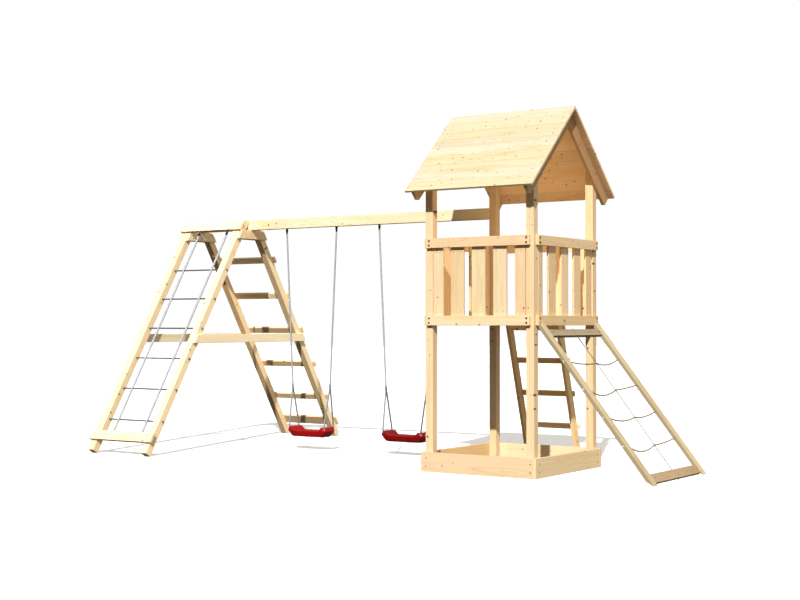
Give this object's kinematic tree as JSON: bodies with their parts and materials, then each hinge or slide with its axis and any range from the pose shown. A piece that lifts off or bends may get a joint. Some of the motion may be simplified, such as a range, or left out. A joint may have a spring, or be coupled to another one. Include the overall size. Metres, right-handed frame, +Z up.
{
  "type": "play tower with swing",
  "caption": "Roofed wooden play tower with sandpit, ladder, rope net ramp, climbing frame and swing beam with hanging seats.",
  "frame": {"origin": "on the ground, at the bottom centre of the whole object's box", "axes": "+X along the swing beam from the climbing frame towards the tower and its ramp, +Y from the tower's front to its ladder, +Z up"},
  "size_m": [5.415, 2.878, 2.9197],
  "materials": {
    "spruce": "sawn and planed, bare",
    "spruce_roof": "planed, bare",
    "spruce_ramp": "planed, slightly green",
    "white_rope": "twisted rope",
    "grey_rope": "twisted rope",
    "dark_steel": "dark coated",
    "red_plastic": "moulded, glossy"
  },
  "bodies": {
    "frame": {"post_front_left": "spruce", "post_front_right": "spruce", "post_rear_right": "spruce", "post_rear_left": "spruce", "sandpit_board_front": "spruce", "sandpit_board_right": "spruce", "sandpit_board_rear": "spruce", "sandpit_board_left": "spruce", "panel_front": "spruce", "panel_right": "spruce", "panel_rear": "spruce", "panel_left": "spruce", "deck_frame": "spruce", "deck_boards": "spruce", "rafters_left": "spruce", "rafters_right": "spruce", "ladder_stringer_left": "spruce", "ladder_stringer_right": "spruce", "ladder_rung_1": "spruce", "ladder_rung_2": "spruce", "ladder_rung_3": "spruce", "ladder_rung_4": "spruce", "swing_beam": "spruce", "leg_near_front": "spruce", "leg_near_back": "spruce", "leg_far_front": "spruce", "leg_far_back": "spruce", "crossbar_near": "spruce", "crossbar_far": "spruce", "head_plate_near_outer": "spruce", "head_plate_near_inner": "spruce", "head_plate_far_outer": "spruce", "head_plate_far_inner": "spruce", "net_board_top": "spruce", "net_board_bottom": "spruce", "back_board_bottom": "spruce", "back_rung_1": "spruce", "back_rung_2": "spruce", "back_rung_3": "spruce", "back_rung_4": "spruce", "back_rung_5": "spruce", "roof_front": "spruce_roof", "roof_rear": "spruce_roof", "ramp_rail_front": "spruce_ramp", "ramp_rail_rear": "spruce_ramp", "ramp_board_top": "spruce_ramp", "ramp_board_bottom": "spruce_ramp", "climbing_net": "white_rope", "ramp_net": "grey_rope", "hook_1_left": "dark_steel", "hook_1_right": "dark_steel", "hook_2_left": "dark_steel", "hook_2_right": "dark_steel"},
    "swing_1": {"swing_1_rope_left": "white_rope", "swing_1_rope_right": "white_rope", "swing_1_seat": "red_plastic"},
    "swing_2": {"swing_2_rope_left": "white_rope", "swing_2_rope_right": "white_rope", "swing_2_seat": "red_plastic"}
  },
  "joints": [
    {"name": "swing_1_hinge", "type": "hinge", "parent": "frame", "child": "swing_1", "pos_m": [-1.2115, 0, 2.063], "axis": [1, 0, 0], "range_deg": [-60, 60]},
    {"name": "swing_2_hinge", "type": "hinge", "parent": "frame", "child": "swing_2", "pos_m": [-0.1365, 0, 2.063], "axis": [1, 0, 0], "range_deg": [-60, 60]}
  ]
}
